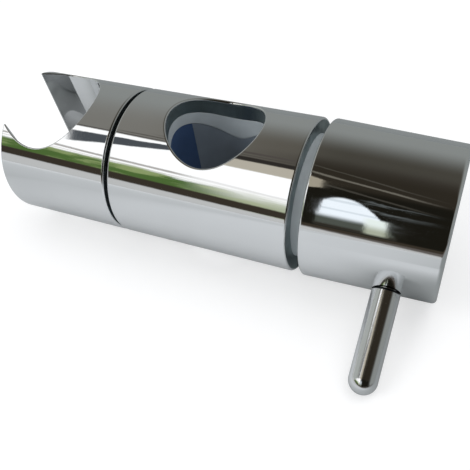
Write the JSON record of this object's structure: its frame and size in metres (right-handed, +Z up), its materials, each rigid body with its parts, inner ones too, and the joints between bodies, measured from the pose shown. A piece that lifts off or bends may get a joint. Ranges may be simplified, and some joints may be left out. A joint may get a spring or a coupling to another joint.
{
  "type": "shower holder",
  "caption": "Chrome slide-bar shower holder with a tilting tapered handset cradle, a barrel that clamps round the riser rail and a lever knob.",
  "frame": {"origin": "where the axis of the rail bore crosses the barrel's axis", "axes": "+Z up along the rail bore, +X along the barrel from the cradle to the knob, +Y towards the wall"},
  "size_m": [0.106, 0.0552, 0.0364],
  "materials": {
    "chrome": "mirror",
    "steel": "satin",
    "spring_steel": "satin",
    "brass": "machined",
    "grey_plastic": "satin",
    "dark_plastic": "satin",
    "white_plastic": "satin",
    "blue_rubber": "matt",
    "black_rubber": "matt"
  },
  "bodies": {
    "barrel": {"barrel_sleeve": "chrome", "guide_liner": "grey_plastic", "oring_left": "black_rubber", "oring_right": "black_rubber", "pivot_insert": "brass", "stop_pin": "steel", "friction_disc": "black_rubber", "cradle_screw": "steel", "plain_washer": "steel", "disc_spring": "spring_steel", "return_spring": "spring_steel", "thrust_washer": "white_plastic"},
    "cradle": {"handset_cradle": "chrome", "cradle_bush": "white_plastic"},
    "clamp": {"clamp_core": "dark_plastic", "grip_pad": "blue_rubber", "draw_bolt": "steel", "stop_ring": "spring_steel"},
    "knob": {"knob_shell": "chrome", "knob_hub": "dark_plastic", "hub_nut": "brass", "lever": "chrome"}
  },
  "joints": [
    {"name": "cradle_tilt", "type": "hinge", "parent": "barrel", "child": "cradle", "pos_m": [-0.0372, 0, 0], "axis": [1, 0, 0], "range_deg": [-57, 43]},
    {"name": "knob_turn", "type": "hinge", "parent": "barrel", "child": "knob", "pos_m": [0.0392, 0, 0], "axis": [1, 0, 0], "range_deg": [-360, 0]},
    {"name": "core_slide", "type": "slide", "parent": "barrel", "child": "clamp", "axis": [1, 0, 0], "range_m": [0, 0.0024], "deforming": ["return_spring"]}
  ],
  "couplings": [
    {"joint": "core_slide", "follows": "knob_turn", "m_per_rad": -0.00038197}
  ]
}
